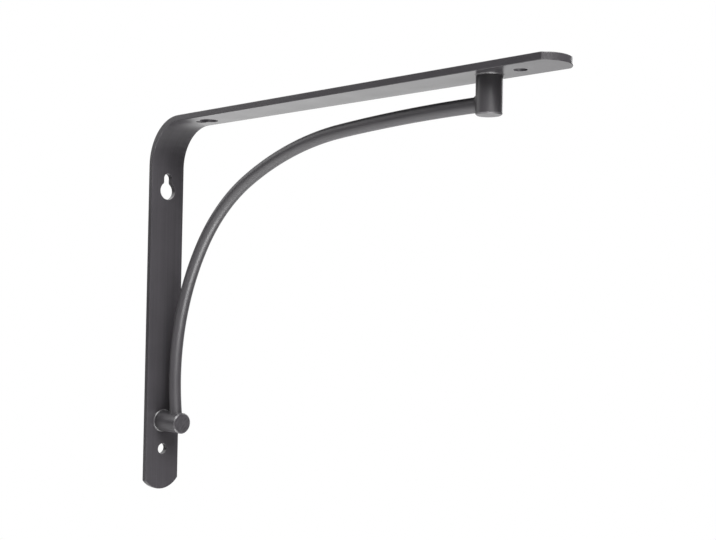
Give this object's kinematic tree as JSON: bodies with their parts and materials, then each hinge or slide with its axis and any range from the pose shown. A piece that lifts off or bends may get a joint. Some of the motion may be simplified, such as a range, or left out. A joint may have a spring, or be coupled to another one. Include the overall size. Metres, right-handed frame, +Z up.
{
  "type": "shelf bracket",
  "caption": "Shelf bracket of folded flat bar with rounded ends and keyholes, braced by a bent round rod welded between turned posts.",
  "frame": {"origin": "middle of the wall keyhole's entry hole, on the wall plane", "axes": "+X out from the wall along the shelf arm, +Y across the bar, +Z up towards the shelf"},
  "size_m": [0.2505, 0.0202, 0.1945],
  "materials": {
    "graphite_paint": "satin graphite metallic powder paint"
  },
  "bodies": {
    "root": {"strap": "graphite_paint", "brace_rod": "graphite_paint", "shelf_post": "graphite_paint", "wall_post": "graphite_paint", "shelf_weld": "graphite_paint", "wall_weld": "graphite_paint"}
  },
  "joints": []
}
